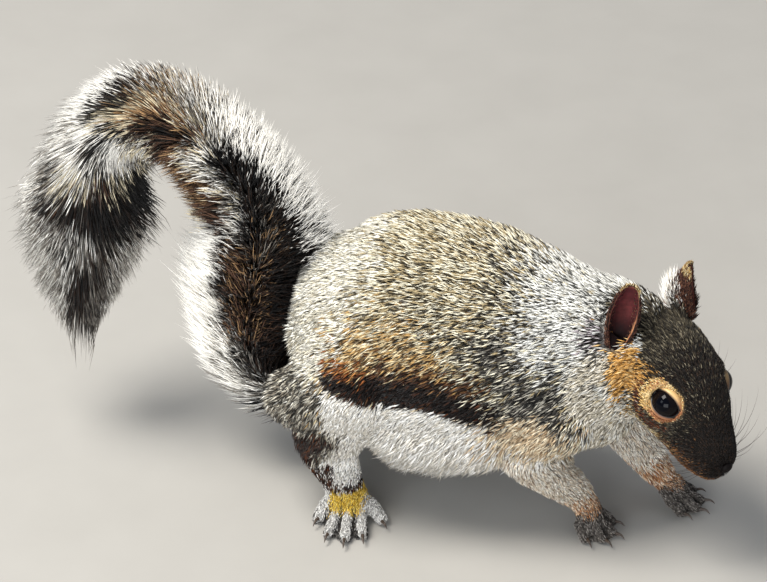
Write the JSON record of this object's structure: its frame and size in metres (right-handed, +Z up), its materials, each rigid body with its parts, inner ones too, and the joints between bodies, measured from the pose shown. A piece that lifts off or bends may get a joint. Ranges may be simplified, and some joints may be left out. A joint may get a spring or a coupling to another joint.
{
  "type": "grey squirrel",
  "caption": "Life-size eastern grey squirrel on all fours, back arched, head turned and lowered, tail raised and hooked over; a still model that stands on its feet.",
  "frame": {"origin": "on the floor, under the middle of the model's box", "axes": "+X the way the trunk points, +Y the animal's left, +Z up"},
  "size_m": [0.27, 0.0932, 0.1622],
  "materials": {
    "coat": "short agouti fur, grey-brown above and white below",
    "tail_fur": "long banded hair, black and brown with white tips",
    "paw": "very short pale fur",
    "ear": "thin bare skin with a furred back",
    "eye": "wet black",
    "nose": "bare damp skin",
    "claw": "dark horn"
  },
  "bodies": {
    "root": {"ear_left": "ear", "ear_right": "ear", "eye_left": "eye", "eye_right": "eye", "forearm_left": "coat", "forearm_right": "coat", "foreclaw_left_1": "claw", "foreclaw_left_2": "claw", "foreclaw_left_3": "claw", "foreclaw_left_4": "claw", "foreclaw_right_1": "claw", "foreclaw_right_2": "claw", "foreclaw_right_3": "claw", "foreclaw_right_4": "claw", "forefoot_left": "paw", "forefoot_right": "paw", "head": "coat", "hindclaw_left_1": "claw", "hindclaw_left_2": "claw", "hindclaw_left_3": "claw", "hindclaw_left_4": "claw", "hindclaw_left_5": "claw", "hindclaw_right_1": "claw", "hindclaw_right_2": "claw", "hindclaw_right_3": "claw", "hindclaw_right_4": "claw", "hindclaw_right_5": "claw", "hindfoot_left": "paw", "hindfoot_right": "paw", "neck": "coat", "nose": "nose", "shank_left": "coat", "shank_right": "coat", "tail_1": "tail_fur", "tail_2": "tail_fur", "tail_3": "tail_fur", "tail_4": "tail_fur", "tail_5": "tail_fur", "thigh_left": "coat", "thigh_right": "coat", "trunk": "coat", "upperarm_left": "coat", "upperarm_right": "coat"}
  },
  "joints": []
}
